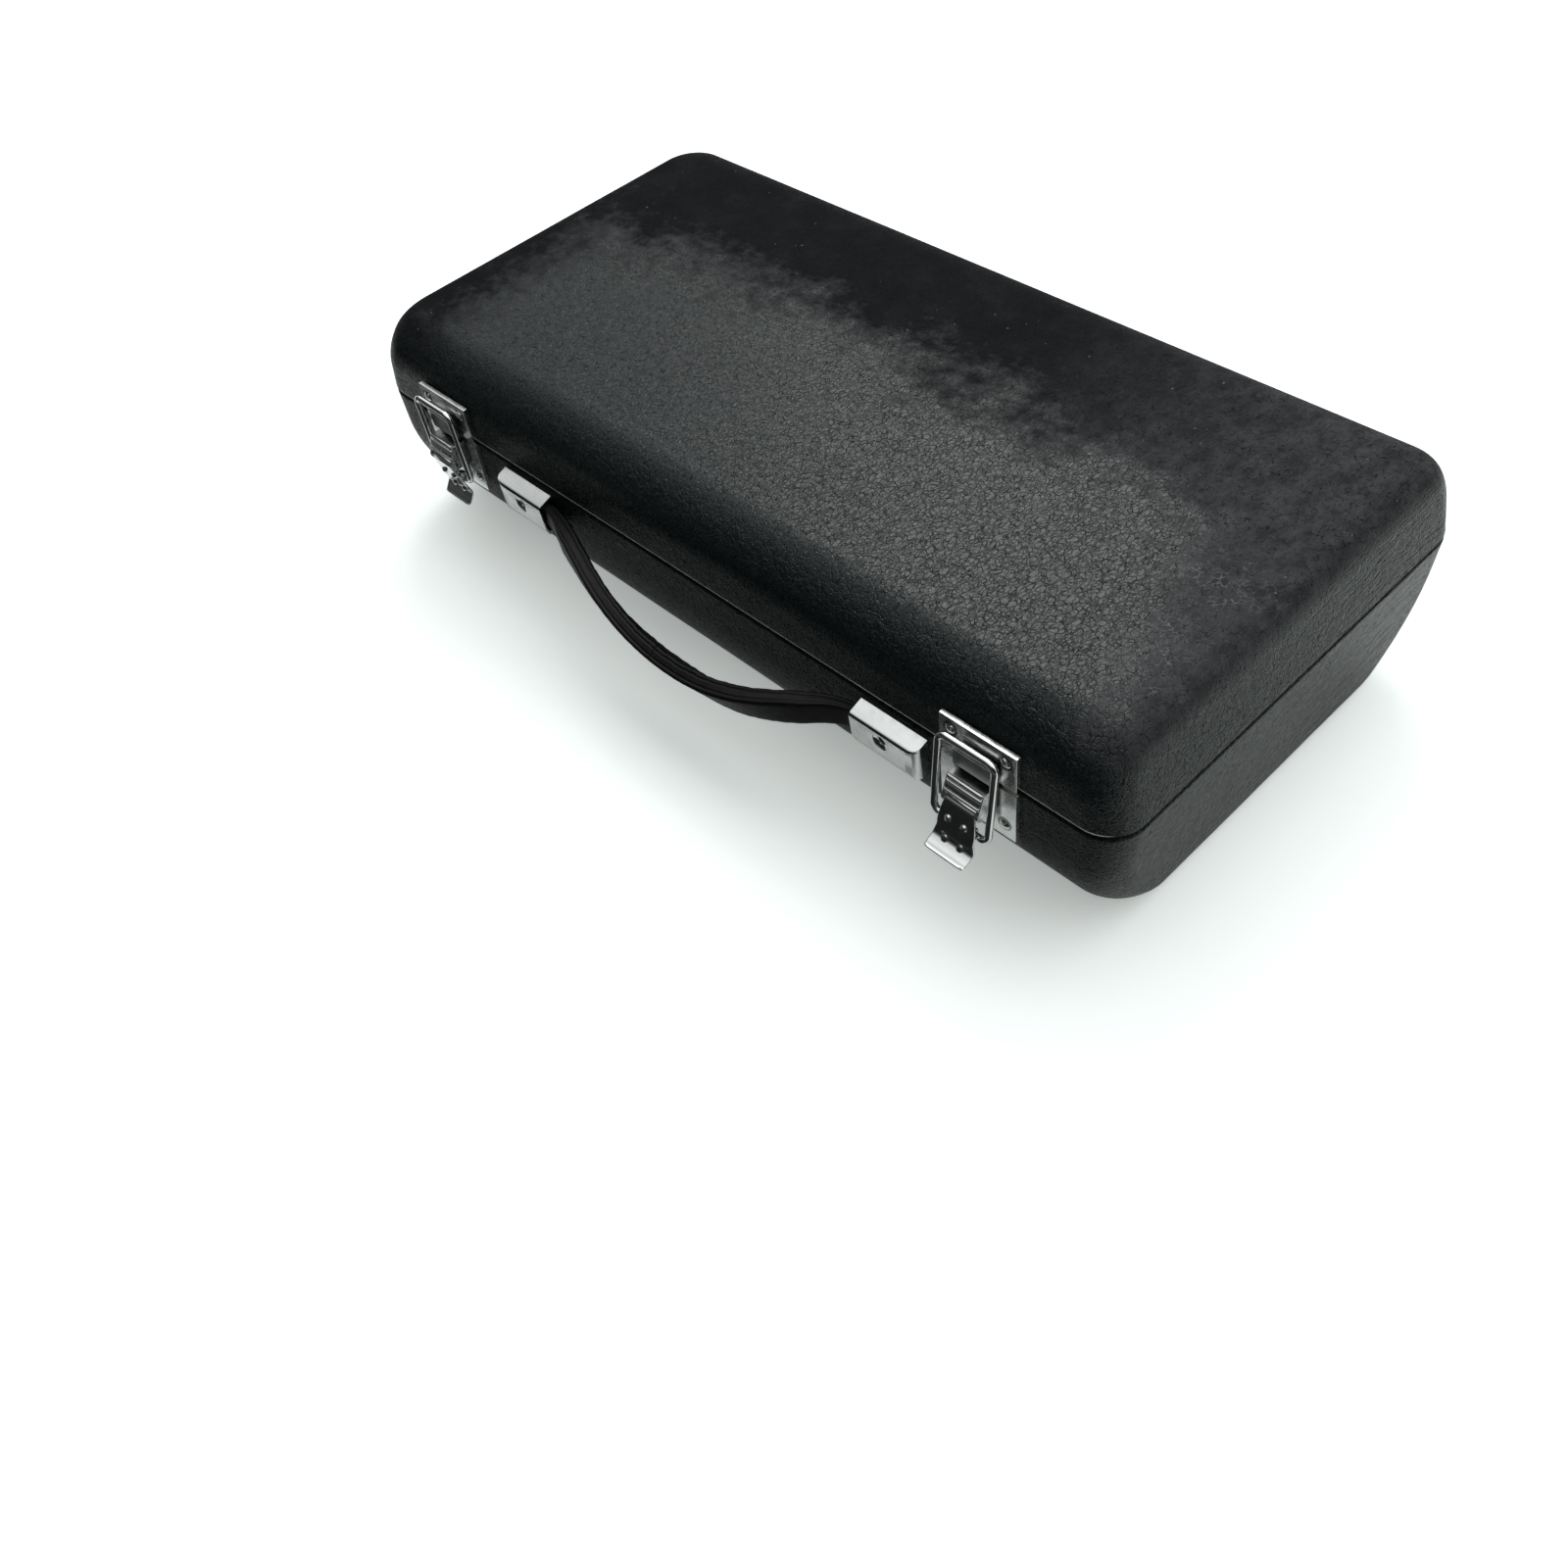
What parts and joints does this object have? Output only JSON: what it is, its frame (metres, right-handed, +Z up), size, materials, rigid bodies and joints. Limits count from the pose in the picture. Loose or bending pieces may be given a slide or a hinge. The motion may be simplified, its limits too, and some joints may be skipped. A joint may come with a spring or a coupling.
{
  "type": "clarinet case",
  "caption": "Black leatherette instrument case with a hinged lid, chrome draw latches, a leather strap handle in chrome caps, and a plush tray shaped for a clarinet in pieces.",
  "frame": {"origin": "middle of the flat bottom, on the surface that the case stands on", "axes": "+X along the case to the right when facing the latches, -Y towards the latches and the handle, +Z up"},
  "size_m": [0.36, 0.2052, 0.087],
  "materials": {
    "leatherette": "satin, fine pebble grain, scuffed",
    "shell_board": "pressed board, painted black",
    "rim_binding": "matte binding",
    "plush": "short pile plush",
    "strap_leather": "smooth, worn at the edges",
    "chrome": "polished, lightly worn"
  },
  "bodies": {
    "base": {"base_shell": "shell_board", "base_cover": "leatherette", "bottom_cover": "leatherette", "rim_strip": "rim_binding", "fitted_tray": "plush", "latch_plate_left": "chrome", "latch_plate_right": "chrome", "latch_plate_rivets": "chrome", "latch_pivot_pin_left": "chrome", "latch_pivot_pin_right": "chrome", "handle_cap_left": "chrome", "handle_cap_right": "chrome", "handle_rivets": "chrome", "hinge_left_lower_leaf": "chrome", "hinge_right_lower_leaf": "chrome", "hinge_left_pin": "chrome", "hinge_right_pin": "chrome", "hinge_base_rivets": "chrome"},
    "lid": {"lid_shell": "shell_board", "lid_cover": "leatherette", "lid_lining": "plush", "latch_keeper_left": "chrome", "latch_keeper_right": "chrome", "latch_keeper_rivets": "chrome", "hinge_left_upper_leaf": "chrome", "hinge_right_upper_leaf": "chrome", "hinge_lid_rivets": "chrome"},
    "handle": {"handle_strap": "strap_leather"},
    "latch_left_lever": {"latch_lever_left": "chrome"},
    "latch_left_loop": {"latch_loop_left": "chrome"},
    "latch_right_lever": {"latch_lever_right": "chrome"},
    "latch_right_loop": {"latch_loop_right": "chrome"}
  },
  "joints": [
    {"name": "lid_hinge", "type": "hinge", "parent": "base", "child": "lid", "pos_m": [0, 0.0908, 0.0566], "axis": [-1, 0, 0], "range_deg": [0, 105]},
    {"name": "latch_left_lever_pivot", "type": "hinge", "parent": "base", "child": "latch_left_lever", "pos_m": [-0.1315, -0.096, 0.0472], "axis": [-1, 0, 0], "range_deg": [0, 90]},
    {"name": "latch_left_loop_pivot", "type": "hinge", "parent": "latch_left_lever", "child": "latch_left_loop", "pos_m": [-0.1315, -0.0934, 0.0392], "axis": [-1, 0, 0], "range_deg": [-65.26, 0.01]},
    {"name": "latch_right_lever_pivot", "type": "hinge", "parent": "base", "child": "latch_right_lever", "pos_m": [0.1315, -0.096, 0.0472], "axis": [-1, 0, 0], "range_deg": [-30, 60]},
    {"name": "latch_right_loop_pivot", "type": "hinge", "parent": "latch_right_lever", "child": "latch_right_loop", "pos_m": [0.1315, -0.09775, 0.03897], "axis": [-1, 0, 0], "range_deg": [-43.51, 21.76]},
    {"name": "handle_flex", "type": "hinge", "parent": "base", "child": "handle", "pos_m": [0.0045, -0.0921, 0.0462], "axis": [-1, 0, 0], "range_deg": [-15, 75], "stiffness_Nm_per_rad": 0.1, "deforming": ["handle_strap"]}
  ],
  "couplings": [
    {"joint": "latch_left_loop_pivot", "follows": "latch_left_lever_pivot", "ratio": -0.725},
    {"joint": "latch_right_loop_pivot", "follows": "latch_right_lever_pivot", "ratio": -0.725}
  ]
}
